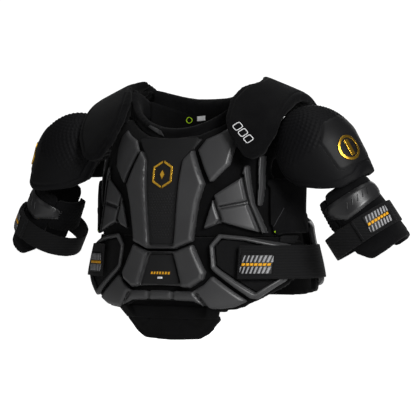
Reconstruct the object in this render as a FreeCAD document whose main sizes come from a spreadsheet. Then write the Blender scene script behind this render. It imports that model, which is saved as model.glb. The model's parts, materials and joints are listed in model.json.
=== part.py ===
"""Ice hockey shoulder pads: a padded vest with moulded chest, rib, belly and back plates, a collar,
clavicle flaps, shoulder caps, biceps guards, elastic straps and a folding abdomen flap.

Frame, in millimetres: +Z up, the chest faces -Y and the wearer's left arm is at +X. The origin is the
middle of the neck opening at the height of the wearer's shoulders.
"""
import FreeCAD
import Part

import math
import os

from FreeCAD import Placement, Rotation, Vector

doc = FreeCAD.newDocument("ShoulderPads")

# ---------------------------------------------------------------------------- driving dimensions
SIZES = [
    # torso form: the inside of the vest is a stack of ellipses, told by the chest one
    ("chest_half_width", 167, "half width inside the vest at the chest"),
    ("chest_half_depth", 117, "half depth inside the vest at the chest"),
    ("collar_rise", 40, "height of the back's top edge above the origin"),
    ("neck_rise", 10, "height of the form's neck level above the origin"),
    ("shoulder_height", 30, "height of the form from its top to the shoulder level"),
    ("upper_chest", 70, "height from shoulder level to chest level"),
    ("mid_chest", 90, "height from chest level to rib level"),
    ("upper_belly", 70, "height from rib level to waist level"),
    ("lower_belly", 50, "height from waist level to hip level"),
    ("flap_drop", 61, "height from hip level to hem level"),
    ("shoulder_taper_x", 16, "how much narrower the form is at shoulder level"),
    ("shoulder_taper_y", 24, "how much shallower the form is at shoulder level"),
    ("neck_taper_x", 26, "how much narrower the form is at neck level"),
    ("neck_taper_y", 38, "how much shallower the form is at neck level"),
    ("collar_taper_x", 45, "how much narrower the form is at the back's top edge"),
    ("collar_taper_y", 79, "how much shallower the form is at the back's top edge"),
    ("rib_flare", 4, "how much wider the form is at rib level"),
    ("waist_flare_x", 20, "how much wider the form is at the waist"),
    ("waist_flare_y", 8, "how much deeper the form is at the waist"),
    # layers
    ("liner", 9, "thickness of the foam liner"),
    ("plate", 10, "thickness of a moulded plate on the liner"),
    ("plate_base", 6, "thickness of the sternum plate under its inlay"),
    ("inlay", 2, "thickness of an inlay"),
    ("rail_rise", 5, "how far the sternum rails stand above the other plates"),
    ("groove", 3, "width of a flex groove"),
    ("groove_floor", 4, "foam left under a flex groove"),
    ("loop_pile", 3, "thickness of the hook-and-loop landing panel"),
    ("flap_foam", 8, "thickness of the abdomen flap"),
    ("clearance", 0.6, "clearance between pieces that move apart"),
    # straps
    ("waist_strap_width", 53, "width of the waist strap"),
    ("strap_thick", 3, "thickness of the elastic straps"),
    ("tab_thick", 3, "thickness of the biceps strap's hook tab"),
    ("arm_strap_width", 37, "width of the biceps strap"),
    # collar
    ("collar_half_width", 118, "outer half width of the collar ring"),
    ("collar_half_depth", 66, "outer half depth of the collar ring"),
    ("collar_thick", 16, "thickness of the collar roll"),
    ("collar_back_set", 30, "how far the collar ring's centre sits forward of the origin"),
    # shoulder arch, with the clavicle flap over the yoke
    ("arch_top", 64, "height of the clavicle flap's top at its inner end"),
    ("arch_half_depth", 104, "outer half depth of the clavicle flap's arch"),
    ("arch_half_height", 116, "outer half height of the clavicle flap's arch"),
    ("arch_slope", 22, "fall of the arch towards the arm, in degrees"),
    ("arch_start", 96, "distance of the arch's inner end from the middle plane"),
    ("arch_end", 190, "distance of the arch's outer end from the middle plane"),
    ("flap_thick", 12, "thickness of the clavicle flap"),
    ("yoke_thick", 9, "thickness of the shoulder yoke"),
    ("arch_space", 11, "space between the yoke and the clavicle flap, in depth"),
    ("flap_float", 3, "space between the shoulder cap and the clavicle flap over it"),
    # arm
    ("arm_x", 230, "shoulder cap centre from the middle plane"),
    ("arm_forward", 40, "shoulder cap centre forward of the origin"),
    ("arm_drop", 60, "shoulder cap centre below the origin"),
    ("arm_abduct", 31, "how far the arm stands out sideways, in degrees"),
    ("arm_sweep", 11.5, "how far the arm stands backwards, in degrees"),
    ("cap_radius", 66, "outer radius of the shoulder cap"),
    ("cap_height", 78, "outer height of the shoulder cap's dome"),
    ("cap_skirt", 72, "length of the cap's skirt below its dome"),
    ("cap_taper", 7, "how much narrower the skirt is at its rim"),
    ("cap_wall", 8, "thickness of the cap's moulded foam"),
    ("cap_lining", 3, "thickness of the cap's lining"),
    ("insert_rise", 2.5, "height of the smooth panel on the cap's outer side"),
    ("badge_rise", 2, "height of the badge on that panel"),
    ("guard_top", 62, "top of the biceps guard along the arm"),
    ("guard_length", 124, "length of the biceps guard"),
    ("guard_radius_top", 42, "outer radius of the guard at its top"),
    ("guard_radius_low", 52, "outer radius of the guard at its lower end"),
    ("guard_wall", 7, "thickness of the guard's padded shell"),
    ("guard_plate", 5, "thickness of the moulded plate on the guard"),
    ("strap_ring", 57, "inner radius of the biceps strap's loop"),
    ("strap_ring_shift", 7, "how far the strap's loop hangs towards the body"),
    ("pad_low", 118, "lower end of the front arm pad along the arm"),
    # chest badge
    ("badge_radius", 24, "outer radius of the chest badge"),
    ("badge_rim", 3.5, "width of the badge's rim"),
    ("badge_thick", 3, "thickness of the badge"),
]

sheet = doc.addObject("Spreadsheet::Sheet", "Sizes")
for row, (alias, value, note) in enumerate(SIZES, 1):
    sheet.set(f"A{row}", alias)
    sheet.set(f"B{row}", str(value))
    sheet.set(f"C{row}", note)
    sheet.setAlias(f"B{row}", alias)
doc.recompute()


def size(alias):
    """A driving dimension, read from the sheet."""
    return float(sheet.get(alias))


def bind(item, **bindings):
    """Ties an object's properties to sums of the sheet's cells."""
    for prop, expression in bindings.items():
        words = [w if w in "+-*/()" or w[0].isdigit() else "Sizes." + w for w in expression.split()]
        item.setExpression(prop, " ".join(words))
    return item


FAR = 400.0  # reach of a cutting prism, beyond every piece

# ---------------------------------------------------------------------------- levels of the vest
Z_COLLAR = size("collar_rise")
Z_NECK = size("neck_rise")
Z_SHOULDER = Z_NECK - size("shoulder_height")
Z_CHEST = Z_SHOULDER - size("upper_chest")
Z_RIBS = Z_CHEST - size("mid_chest")
Z_WAIST = Z_RIBS - size("upper_belly")
Z_HIP = Z_WAIST - size("lower_belly")
Z_HEM = Z_HIP - size("flap_drop")
W = size("chest_half_width")
LINER = size("liner")
CLEAR = size("clearance")

FORM = [  # level, half width and half depth of each section of the torso form, as sums of cells
    (Z_COLLAR, "chest_half_width - collar_taper_x", "chest_half_depth - collar_taper_y"),
    (Z_NECK, "chest_half_width - neck_taper_x", "chest_half_depth - neck_taper_y"),
    (Z_SHOULDER, "chest_half_width - shoulder_taper_x", "chest_half_depth - shoulder_taper_y"),
    (Z_CHEST, "chest_half_width", "chest_half_depth"),
    (Z_RIBS, "chest_half_width + rib_flare", "chest_half_depth + rib_flare"),
    (Z_WAIST, "chest_half_width + waist_flare_x", "chest_half_depth + waist_flare_y"),
    (Z_HIP, "chest_half_width + waist_flare_x - rib_flare", "chest_half_depth + waist_flare_y"),
    (Z_HEM, "chest_half_width + rib_flare", "chest_half_depth - rib_flare"),
]


# ---------------------------------------------------------------------------- building helpers
def torso(name, offset):
    """The torso form grown outward by a sum of cells, as a solid loft."""
    rings = []
    for i, (level, wide, deep) in enumerate(FORM):
        ring = doc.addObject("Part::Ellipse", f"{name}_ring{i}")
        bind(ring, MajorRadius=f"{wide} + {offset}", MinorRadius=f"{deep} + {offset}")
        ring.Placement = Placement(Vector(0, 0, level), Rotation())
        rings.append(ring)
    body = doc.addObject("Part::Loft", name)
    body.Sections = rings
    body.Solid = True
    return body


def cut(name, base, tool):
    item = doc.addObject("Part::Cut", name)
    item.Base, item.Tool = base, tool
    return item


def common(name, one, two):
    item = doc.addObject("Part::Common", name)
    item.Base, item.Tool = one, two
    return item


def fuse(name, *items):
    item = doc.addObject("Part::MultiFuse", name)
    item.Shapes = list(items)
    return item


def feature(name, shape, placement=None):
    """A solid made with Part's own functions from the sheet's values."""
    item = doc.addObject("Part::Feature", name)
    item.Shape = shape
    if placement:
        item.Placement = placement
    return item


def full(half):
    """The whole outline of a piece that is the same left and right, from its right half."""
    mirrored = [(-x, z) for x, z in reversed(half) if abs(x) > 1e-6]
    return half + mirrored


def rounded(points, radius):
    """A closed outline of straight sides whose corners are arcs of up to the given radius."""
    count = len(points)
    corners = []
    for i in range(count):
        before, here, after = (Vector(*points[k % count], 0) for k in (i - 1, i, i + 1))
        one, two = (before - here), (after - here)
        reach_one, reach_two = one.Length * 0.45, two.Length * 0.45
        one.normalize()
        two.normalize()
        half_turn = math.acos(max(-1.0, min(1.0, one.dot(two)))) / 2
        if radius <= 0 or half_turn > math.radians(86):
            corners.append((here, here, here))
            continue
        setback = min(radius / math.tan(half_turn), reach_one, reach_two)
        used = setback * math.tan(half_turn)
        middle = one + two
        middle.normalize()
        bow = here + middle * (used / math.sin(half_turn) - used)
        corners.append((here + one * setback, bow, here + two * setback))
    edges = []
    for i, (start, bow, end) in enumerate(corners):
        if (start - end).Length > 1e-6:
            edges.append(Part.Arc(start, bow, end).toShape())
        following = corners[(i + 1) % count][0]
        if (following - end).Length > 1e-6:
            edges.append(Part.LineSegment(end, following).toShape())
    return Part.Wire(edges)


def prism_shape(points, y_from, y_to, radius=3.0):
    """An outline in X and Z, extruded along Y."""
    face = Part.Face(rounded(points, radius))
    face.Placement = Placement(Vector(0, y_from, 0), Rotation(Vector(1, 0, 0), 90))
    return face.extrude(Vector(0, y_to - y_from, 0))


def front_prism(name, points, radius=3.0, to=0.0):
    return feature(name, prism_shape(points, -FAR, to, radius))


def back_prism(name, points, radius=3.0, start=0.0):
    return feature(name, prism_shape(points, start, FAR, radius))


def slot_prism(name, lines, width, y_from, y_to):
    """Straight slots of one width along lines in X and Z, as one tool."""
    bars = []
    for (x1, z1), (x2, z2) in lines:
        along = Vector(x2 - x1, z2 - z1, 0)
        along.normalize()
        side = Vector(-along.y, along.x, 0) * (width / 2)
        corners = [(x1 + s * side.x, z1 + s * side.y) for s in (1, -1)]
        corners += [(x2 + s * side.x, z2 + s * side.y) for s in (-1, 1)]
        bars.append(prism_shape(corners, y_from, y_to, 0))
    tool = bars[0].multiFuse(bars[1:]) if len(bars) > 1 else bars[0]
    return feature(name, tool)


def mirror(label, source):
    item = doc.addObject("Part::Mirroring", label)
    item.Source = source
    item.Normal = Vector(1, 0, 0)
    return item


PIECES = {}  # node name to the document object that holds its solid


def node(label, item):
    item.Label = label
    PIECES[label] = item
    return item


def pair(label, item):
    """A piece on the wearer's left, at +X, and its mirror image on the right."""
    node(label + "_left", item)
    node(label + "_right", mirror(label + "_mirrored", item))


# ---------------------------------------------------------------------------- layers of the vest
form_inside = torso("form_inside", "0")
form_liner = torso("form_liner", "liner")
form_groove = torso("form_groove", "liner + groove_floor")
form_pile = torso("form_pile", "liner + loop_pile")
form_base = torso("form_base", "liner + plate_base")
form_inlay = torso("form_inlay", "liner + plate_base + inlay")
form_plate = torso("form_plate", "liner + plate")
form_rail = torso("form_rail", "liner + plate + rail_rise")
form_strap_in = torso("form_strap_in", "liner + plate + clearance")
form_strap_out = torso("form_strap_out", "liner + plate + clearance + strap_thick")
form_flap_out = torso("form_flap_out", "0 - clearance")
form_flap_in = torso("form_flap_in", "0 - clearance - flap_foam")

layer_liner = cut("layer_liner", form_liner, form_inside)
layer_plate = cut("layer_plate", form_plate, form_liner)
layer_rail = cut("layer_rail", form_rail, form_liner)
layer_pile = cut("layer_pile", form_pile, form_liner)
layer_inlay = cut("layer_inlay", form_inlay, form_base)
layer_strap = cut("layer_strap", form_strap_out, form_strap_in)
layer_flap = cut("layer_flap", form_flap_out, form_flap_in)


def plate_on(name, layer, prism, grooves=None, back=False):
    """A moulded piece: a layer inside an outline, with flex grooves down to the groove floor."""
    piece = common(name + "_blank", layer, prism)
    if not grooves:
        return piece
    ends = (0, FAR) if back else (-FAR, 0)
    slots = slot_prism(name + "_slots", grooves, size("groove"), *ends)
    return cut(name + "_grooved", piece, cut(name + "_slot_tool", slots, form_groove))


# ---------------------------------------------------------------------------- front of the vest
def chest_liner():
    half = [
        (0, Z_SHOULDER - 14), (45, Z_SHOULDER - 10), (80, Z_SHOULDER + 6), (96, Z_NECK - 10),
        (W - 17, Z_NECK - 10), (W - 9, Z_SHOULDER - 20), (W - 15, Z_CHEST + 10),
        (W - 9, Z_CHEST - 30), (W - 2, Z_RIBS - 10), (0, Z_RIBS - 10),
    ]
    node("chest_liner", common("chest_liner_solid", layer_liner, front_prism("chest_outline", full(half))))


def belly_liner():
    top = Z_RIBS - 10 - CLEAR
    half = [
        (0, top), (W - 2, top), (W + 16, Z_RIBS - 20), (W + 19, Z_WAIST - 5), (W + 10, Z_WAIST - 20),
        (W - 17, Z_HIP + 12), (W - 46, Z_HIP - 4), (88, Z_HIP - 8), (56, Z_HIP + 6), (0, Z_HIP + 8),
    ]
    node("belly_liner", common("belly_liner_solid", layer_liner, front_prism("belly_outline", full(half))))


RAIL_TOP_X, RAIL_WIDE_X, RAIL_LOW_X = 47, 72, 55
PANEL_TOP_X, PANEL_LOW_X = 34, 23
TAIL_TOP = Z_RIBS - 33
TAIL_LOW = Z_HIP + 31


def sternum():
    """The sternum plate: a dark centre panel between two raised rails, up to the collar."""
    outline = [
        (0, Z_SHOULDER - 16), (60, Z_SHOULDER - 14), (RAIL_TOP_X + 1, Z_CHEST + 38),
        (RAIL_WIDE_X, Z_CHEST - 17), (63, Z_CHEST - 47), (RAIL_LOW_X + 1, Z_RIBS - 4),
        (RAIL_LOW_X, Z_RIBS - 18), (PANEL_LOW_X + 3, Z_RIBS - 30), (0, Z_RIBS - 30),
    ]
    panel = [
        (0, Z_SHOULDER + 4), (80, Z_SHOULDER + 4), (RAIL_TOP_X, Z_CHEST + 37),
        (PANEL_TOP_X, Z_CHEST + 22), (PANEL_LOW_X, Z_RIBS - 25), (0, Z_RIBS - 25),
    ]
    blank = common("sternum_blank", layer_rail, front_prism("sternum_outline", full(outline)))
    well = cut("sternum_well", front_prism("sternum_panel", full(panel)), form_base)
    node("sternum_plate", cut("sternum_solid", blank, well))
    inset = [
        (0, Z_SHOULDER - 20), (56, Z_SHOULDER - 19), (RAIL_TOP_X - 4, Z_CHEST + 36),
        (PANEL_TOP_X - 2, Z_CHEST + 22), (PANEL_LOW_X - 2, Z_RIBS - 22), (0, Z_RIBS - 22),
    ]
    prism = front_prism("sternum_inset", full(inset), radius=2)
    node("sternum_inlay", common("sternum_inlay_solid", layer_inlay, prism))


def chest_badge():
    """A plain six-sided rim with a diamond stud, padded forward and fitted to the inlay's curve."""
    body = doc.addObject("PartDesign::Body", "badge_body")
    plane = next(f for f in body.Origin.OriginFeatures if f.Role == "XZ_Plane")
    sketch = body.newObject("Sketcher::SketchObject", "badge_sketch")
    sketch.AttachmentSupport = [(plane, "")]
    sketch.MapMode = "FlatFace"
    outer, rim = size("badge_radius"), size("badge_rim")
    for radius, squeeze, sides in ((outer, 0.86, 6), (outer - rim, 0.86, 6), (outer * 0.4, 0.6, 4)):
        corners = [
            Vector(
                radius * squeeze * math.sin(2 * math.pi * k / sides),
                radius * math.cos(2 * math.pi * k / sides),
                0,
            )
            for k in range(sides)
        ]
        for start, end in zip(corners, corners[1:] + corners[:1]):
            sketch.addGeometry(Part.LineSegment(start, end), False)
    pad = body.newObject("PartDesign::Pad", "badge_pad")
    pad.Profile = sketch
    pad.Reversed = False
    bind(pad, Length="badge_thick + 4")
    surface = size("chest_half_depth") + LINER + size("plate_base") + size("inlay")
    body.Placement = Placement(Vector(0, -(surface - 4), Z_CHEST - 4), Rotation())
    node("chest_badge", cut("chest_badge_solid", body, form_inlay))


def tail():
    """The lower sternum plate: two spreading arms round a dark panel."""
    outline = [
        (0, TAIL_TOP), (PANEL_LOW_X + 4, TAIL_TOP), (RAIL_LOW_X, Z_RIBS - 22), (59, Z_RIBS - 31),
        (77, Z_WAIST + 3), (74, Z_WAIST - 8), (54, TAIL_LOW - 2), (0, TAIL_LOW),
    ]
    panel = [
        (0, TAIL_TOP - 3), (PANEL_LOW_X, TAIL_TOP - 3), (38, TAIL_LOW + 6), (36, TAIL_LOW - 8),
        (0, TAIL_LOW - 8),
    ]
    blank = common("tail_blank", layer_rail, front_prism("tail_outline", full(outline)))
    well = cut("tail_well", front_prism("tail_panel", full(panel)), form_base)
    node("tail_plate", cut("tail_solid", blank, well))
    inset = [
        (0, TAIL_TOP - 5), (PANEL_LOW_X - 2, TAIL_TOP - 5), (35, TAIL_LOW + 6), (33, TAIL_LOW + 3),
        (0, TAIL_LOW + 3),
    ]
    prism = front_prism("tail_inset", full(inset), radius=2)
    node("tail_inlay", common("tail_inlay_solid", layer_inlay, prism))


def pec_plate():
    points = [
        (RAIL_TOP_X + 7, Z_CHEST + 37), (64, Z_SHOULDER - 16), (82, Z_SHOULDER - 7),
        (95, Z_SHOULDER + 3), (107, Z_SHOULDER - 8), (110, Z_SHOULDER - 28), (106, Z_CHEST + 12),
        (84, Z_CHEST - 14), (RAIL_WIDE_X + 7, Z_CHEST - 15),
    ]
    pair("pec_plate", plate_on("pec_plate", layer_plate, front_prism("pec_outline", points)))


def rib_plate():
    """A rib plate of three facets with a raised outer rim, split by flex grooves."""
    points = [
        (87, Z_CHEST - 34), (W - 43, Z_CHEST - 7), (W - 41, Z_CHEST + 12), (W - 36, Z_CHEST + 12),
        (W - 28, Z_CHEST - 46), (W - 11, Z_RIBS - 7), (99, Z_RIBS + 12), (70, Z_RIBS + 1),
    ]
    grooves = [
        ((83, Z_CHEST - 30), (97, Z_RIBS + 16)), ((93, Z_CHEST - 55), (W - 33, Z_CHEST - 46)),
        ((W - 42, Z_CHEST - 2), (W - 33, Z_CHEST - 46)), ((W - 33, Z_CHEST - 46), (W - 16, Z_RIBS - 8)),
        ((97, Z_RIBS + 16), (86, Z_RIBS + 2)),
    ]
    prism = front_prism("rib_outline", points, radius=2)
    pair("rib_plate", plate_on("rib_plate", layer_plate, prism, grooves))


def side_plate():
    points = [
        (W - 24, Z_CHEST + 27), (W - 18, Z_CHEST + 28), (W - 16, Z_CHEST - 20),
        (W - 19, Z_CHEST - 52), (W - 22, Z_CHEST - 52), (W - 21, Z_CHEST - 20),
    ]
    prism = front_prism("side_outline", points, radius=1.5)
    pair("side_plate", common("side_plate_solid", layer_plate, prism))


SIDE_PANEL_BACK = 8


def side_panel():
    """The soft panel that covers the flank, from the rib plate round to the side."""
    points = [
        (W - 12, Z_CHEST - 6), (W + 60, Z_CHEST - 12), (W + 60, Z_RIBS - 4), (W + 4, Z_RIBS - 8),
        (W - 6, Z_RIBS - 8),
    ]
    prism = front_prism("flank_outline", points, radius=6, to=SIDE_PANEL_BACK)
    pair("flank_pad", common("flank_pad_solid", layer_plate, prism))


def flank_tab():
    """A short elastic tab that ties the flank pad to the belly liner."""
    points = [
        (W + 2, Z_RIBS - 8 - CLEAR), (W + 14, Z_RIBS - 8 - CLEAR), (W + 14, Z_RIBS - 21),
        (W + 2, Z_RIBS - 21),
    ]
    blank = common("flank_tab_blank", layer_pile, front_prism("flank_tab_outline", points, radius=1))
    pair("flank_tab", cut("flank_tab_solid", blank, PIECES["belly_wing_left"]))


WING_TOP = Z_RIBS - 6


def belly_wing():
    """The frame of the belly wing, with the hook-and-loop landing panel inside it."""
    outer = [
        (80, WING_TOP - 18), (93, WING_TOP), (W - 37, WING_TOP - 4), (W + 10, WING_TOP - 15),
        (W + 17, WING_TOP - 30), (W + 15, Z_WAIST - 10), (W - 17, Z_HIP + 12), (W - 26, Z_HIP + 13),
        (92, Z_WAIST + 2), (84, Z_WAIST + 10),
    ]
    inner = [
        (86, WING_TOP - 20), (97, WING_TOP - 7), (W - 37, WING_TOP - 11), (W + 5, WING_TOP - 23),
        (W + 10, WING_TOP - 30), (W + 9, Z_WAIST - 6), (W - 19, Z_HIP + 22), (97, Z_WAIST + 8),
        (90, Z_WAIST + 14),
    ]
    blank = common("wing_blank", layer_plate, front_prism("wing_outline", outer))
    pair("belly_wing", cut("wing_solid", blank, front_prism("wing_window", inner)))
    inset = size("clearance")
    centre = (sum(x for x, _ in inner) / len(inner), sum(z for _, z in inner) / len(inner))
    shrunk = []
    for x, z in inner:
        away = Vector(x - centre[0], z - centre[1], 0)
        keep = 1 - 2 * inset / away.Length
        shrunk.append((centre[0] + away.x * keep, centre[1] + away.y * keep))
    pair("loop_panel", common("loop_panel_solid", layer_pile, front_prism("loop_outline", shrunk)))


def crescent_plate():
    half = [
        (0, TAIL_LOW - 6), (55, TAIL_LOW - 7), (74, Z_WAIST - 15), (84, Z_WAIST - 3),
        (88, Z_WAIST - 2), (W - 29, Z_HIP + 9), (W - 49, Z_HIP - 1), (97, Z_HIP - 4),
        (84, Z_HIP - 4), (56, Z_HIP + 8), (0, Z_HIP + 10),
    ]
    grooves = [
        ((s * 22, TAIL_LOW - 5), (s * 22, Z_HIP + 10)) for s in (-1, 1)
    ] + [((s * 60, TAIL_LOW - 8), (s * 80, Z_HIP - 4)) for s in (-1, 1)]
    prism = front_prism("crescent_outline", full(half))
    node("crescent_plate", plate_on("crescent_plate", layer_plate, prism, grooves))


FOLD_LEVEL = Z_HIP - 10  # the abdomen flap folds along this level


def abdomen_flap():
    band = [(0, Z_HIP + 18), (88, Z_HIP + 18), (102, Z_HIP), (98, FOLD_LEVEL + CLEAR / 2),
            (0, FOLD_LEVEL + CLEAR / 2)]
    node("flap_band", common("flap_band_solid", layer_flap, front_prism("band_outline", full(band), 1)))
    flap = [(0, FOLD_LEVEL - CLEAR / 2), (97, FOLD_LEVEL - CLEAR / 2), (66, Z_HEM + 16),
            (50, Z_HEM + 7), (0, Z_HEM + 5)]
    prism = front_prism("flap_outline", full(flap), radius=14)
    node("abdomen_flap", common("abdomen_flap_solid", layer_flap, prism))


# ---------------------------------------------------------------------------- back of the vest
BACK_START = 12.0  # the back's side wings end here, forward of which is the side opening


def back_panel():
    half = [
        (0, Z_COLLAR - 2), (64, Z_COLLAR - 2), (98, Z_NECK), (W - 20, Z_SHOULDER + 12),
        (W - 17, Z_CHEST + 40), (W - 29, Z_CHEST - 10), (W - 17, Z_RIBS + 30),
        (W + 60, Z_RIBS + 12), (W + 60, Z_WAIST - 22), (W - 40, Z_HIP + 10), (0, Z_HIP + 6),
    ]
    prism = back_prism("back_outline", full(half), radius=8, start=BACK_START)
    node("back_liner", common("back_liner_solid", layer_liner, prism))


def spine_plate():
    half = [
        (0, Z_SHOULDER + 4), (26, Z_SHOULDER), (32, Z_CHEST), (26, Z_RIBS), (32, Z_WAIST),
        (24, Z_HIP + 14), (0, Z_HIP + 12),
    ]
    steps = 6
    drop = (Z_SHOULDER - Z_HIP) / steps
    grooves = [((-40, Z_SHOULDER - drop * k), (40, Z_SHOULDER - drop * k)) for k in range(1, steps)]
    prism = back_prism("spine_outline", full(half), start=BACK_START)
    node("spine_plate", plate_on("spine_plate", layer_rail, prism, grooves, back=True))


def back_plates():
    outlines = {
        "scapula_plate": [
            (36, Z_SHOULDER - 2), (92, Z_SHOULDER + 2), (W - 30, Z_SHOULDER - 20),
            (W - 38, Z_CHEST - 2), (W - 32, Z_RIBS + 32), (W - 50, Z_RIBS + 6), (36, Z_RIBS + 6),
        ],
        "kidney_plate": [
            (34, Z_RIBS), (W - 50, Z_RIBS), (W - 20, Z_RIBS + 22), (W + 60, Z_RIBS + 4),
            (W + 60, Z_WAIST - 14), (W - 50, Z_HIP + 16), (38, Z_HIP + 14),
        ],
    }
    for label, points in outlines.items():
        prism = back_prism(label + "_outline", points, radius=6, start=BACK_START + 4)
        grooves = [((20, Z_CHEST - 33), (W - 20, Z_CHEST - 20))] if label == "scapula_plate" else None
        pair(label, plate_on(label, layer_plate, prism, grooves, back=True))


STRAP_HALF = size("waist_strap_width") / 2
STRAP_MID = Z_WAIST + 20
STRAP_REAR = 78.0  # the strap is sewn to the back at this depth
STRAP_FRONT_X = W - 42  # its hook tab ends here, on the belly wing


def waist_strap():
    top, low = STRAP_MID + STRAP_HALF, STRAP_MID - STRAP_HALF
    points = [(STRAP_FRONT_X, top), (W + 80, top), (W + 80, low), (STRAP_FRONT_X, low)]
    prism = front_prism("waist_strap_outline", points, radius=2, to=STRAP_REAR)
    pair("waist_strap", common("waist_strap_solid", layer_strap, prism))


# ---------------------------------------------------------------------------- collar and shoulders
def elliptic_column(name, wide, deep, centre_y):
    """An upright elliptic column through the neck, its half sizes given as sums of cells."""
    ring = doc.addObject("Part::Ellipse", name + "_ring")
    bind(ring, MajorRadius=wide, MinorRadius=deep)
    ring.Placement = Placement(Vector(0, centre_y, -FAR), Rotation())
    column = doc.addObject("Part::Extrusion", name)
    column.Base = ring
    column.DirMode = "Custom"
    column.Dir = Vector(0, 0, 1)
    column.LengthFwd = 2 * FAR
    column.Solid = True
    return column


COLLAR_Y = -size("collar_back_set")
collar_outer = elliptic_column("collar_outer", "collar_half_width", "collar_half_depth", COLLAR_Y)
collar_inner = elliptic_column(
    "collar_inner", "collar_half_width - collar_thick", "collar_half_depth - collar_thick", COLLAR_Y
)
collar_keepout = elliptic_column(
    "collar_keepout", "collar_half_width + clearance", "collar_half_depth + clearance", COLLAR_Y
)
collar_ring = cut("collar_ring", collar_outer, collar_inner)
HINGE_Z = size("arch_top") + 6  # the back swings about a line across the top of the shoulders
COLLAR_SIDE_TOP, COLLAR_SIDE_LOW = HINGE_Z - 6, 34


def saddle(name, middle_top, middle_low, y_from, y_to):
    """The space between two arcs seen from the front, which bounds the collar's height."""
    reach = size("collar_half_width") + 4
    left_top, right_top = Vector(reach, 0, COLLAR_SIDE_TOP), Vector(-reach, 0, COLLAR_SIDE_TOP)
    left_low, right_low = Vector(reach, 0, COLLAR_SIDE_LOW), Vector(-reach, 0, COLLAR_SIDE_LOW)
    top = Part.Arc(right_top, Vector(0, 0, middle_top), left_top)
    low = Part.Arc(left_low, Vector(0, 0, middle_low), right_low)
    left = Part.LineSegment(left_top, left_low)
    right = Part.LineSegment(right_low, right_top)
    face = Part.Face(Part.Wire([top.toShape(), left.toShape(), low.toShape(), right.toShape()]))
    face.translate(Vector(0, y_from, 0))
    return feature(name, face.extrude(Vector(0, y_to - y_from, 0)))


def collar():
    front = saddle("collar_front_bounds", -18, -42, -FAR, -CLEAR / 2)
    roll = common("collar_front_roll", collar_ring, front)
    node("collar_front", cut("collar_front_solid", roll, PIECES["chest_liner"]))
    back = saddle("collar_back_bounds", 36, 0, CLEAR / 2, FAR)
    node("collar_back", common("collar_back_solid", collar_ring, back))


def arch(name, inset_depth, inset_height):
    """A solid arch over the shoulder, falling towards the arm: half an elliptic column on its side."""
    ring = doc.addObject("Part::Ellipse", name + "_ring")
    bind(
        ring,
        MajorRadius=f"arch_half_height - ( {inset_height} )",
        MinorRadius=f"arch_half_depth - ( {inset_depth} )",
    )
    slope = math.radians(size("arch_slope"))
    start, run = size("arch_start"), size("arch_end") - size("arch_start")
    centre_z = size("arch_top") - size("arch_half_height")
    lead = 30  # starts this far inside the arch's inner end, so that its slanted end is trimmed
    upright = Rotation(Vector(0, 0, 1), Vector(0, -1, 0), Vector(1, 0, 0), "XYZ")
    tilt = Rotation(Vector(0, 1, 0), size("arch_slope"))
    at = Vector(start - lead * math.cos(slope), -8, centre_z + lead * math.sin(slope))
    ring.Placement = Placement(at, tilt.multiply(upright))
    solid = doc.addObject("Part::Extrusion", name)
    solid.Base = ring
    solid.DirMode = "Custom"
    solid.Dir = Vector(math.cos(slope), 0, -math.sin(slope))
    solid.LengthFwd = (run + 2 * lead) / math.cos(slope)
    solid.Solid = True
    return solid


REAR_SPLIT = 4.0  # the front and rear halves of the arch meet here, behind the shoulder's top


def shoulder_arch():
    flap_out, flap_in = arch("flap_out", "0", "0"), arch("flap_in", "flap_thick", "flap_thick")
    yoke_out = arch("yoke_out", "flap_thick + arch_space", "flap_thick + 2")
    yoke_in = arch(
        "yoke_in", "flap_thick + arch_space + yoke_thick", "flap_thick + 2 + yoke_thick"
    )
    flap_shell = cut("flap_shell", cut("flap_open", flap_out, flap_in), collar_keepout)
    yoke_shell = cut("yoke_shell", cut("yoke_open", yoke_out, yoke_in), collar_outer)
    start, end = size("arch_start"), size("arch_end")
    lobe = [
        (start, 140), (end, 140), (end, 2), (end - 6, -30), (end - 22, -62), (end - 40, -70),
        (end - 56, -66), (start + 12, -34), (start, -8),
    ]
    prism = feature("flap_lobe", prism_shape(lobe, -FAR, REAR_SPLIT - CLEAR / 2, 9))
    blank = common("clavicle_flap_blank", flap_shell, prism)
    pair("clavicle_flap", cut("clavicle_flap_solid", blank, dome("cap_space", "0 - flap_float")))
    rear = [
        (start + 16, 140), (end - 4, 140), (end - 4, 4), (end - 30, -28), (start + 30, -28),
        (start + 16, -12),
    ]
    prism = feature("rear_lobe", prism_shape(rear, REAR_SPLIT + CLEAR / 2, FAR, 9))
    pair("rear_flap", common("rear_flap_solid", flap_shell, prism))
    inner, outer = start + 8, end - 26
    front_yoke = [(inner, 140), (outer, 140), (outer, 0), (inner, -6)]
    prism = feature("yoke_front_box", prism_shape(front_yoke, -FAR, -CLEAR / 2, 2))
    pair("front_yoke", common("front_yoke_solid", yoke_shell, prism))
    back_yoke = [(inner, 140), (outer, 140), (outer, 8), (inner, 4)]
    prism = feature("yoke_back_box", prism_shape(back_yoke, CLEAR / 2, FAR, 2))
    blank = common("back_yoke_blank", yoke_shell, prism)
    pair("back_yoke", cut("back_yoke_solid", blank, PIECES["back_liner"]))


# ---------------------------------------------------------------------------- arms
# An arm's own frame: x outward, y backward and z up along the arm, with its origin at the cap's centre.
ARM = Placement(
    Vector(size("arm_x"), -size("arm_forward"), -size("arm_drop")),
    Rotation(Vector(1, 0, 0), size("arm_sweep")).multiply(Rotation(Vector(0, 1, 0), -size("arm_abduct"))),
)


def on_arm(x=0.0, y=0.0, z=0.0):
    return ARM.multiply(Placement(Vector(x, y, z), Rotation()))


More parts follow.
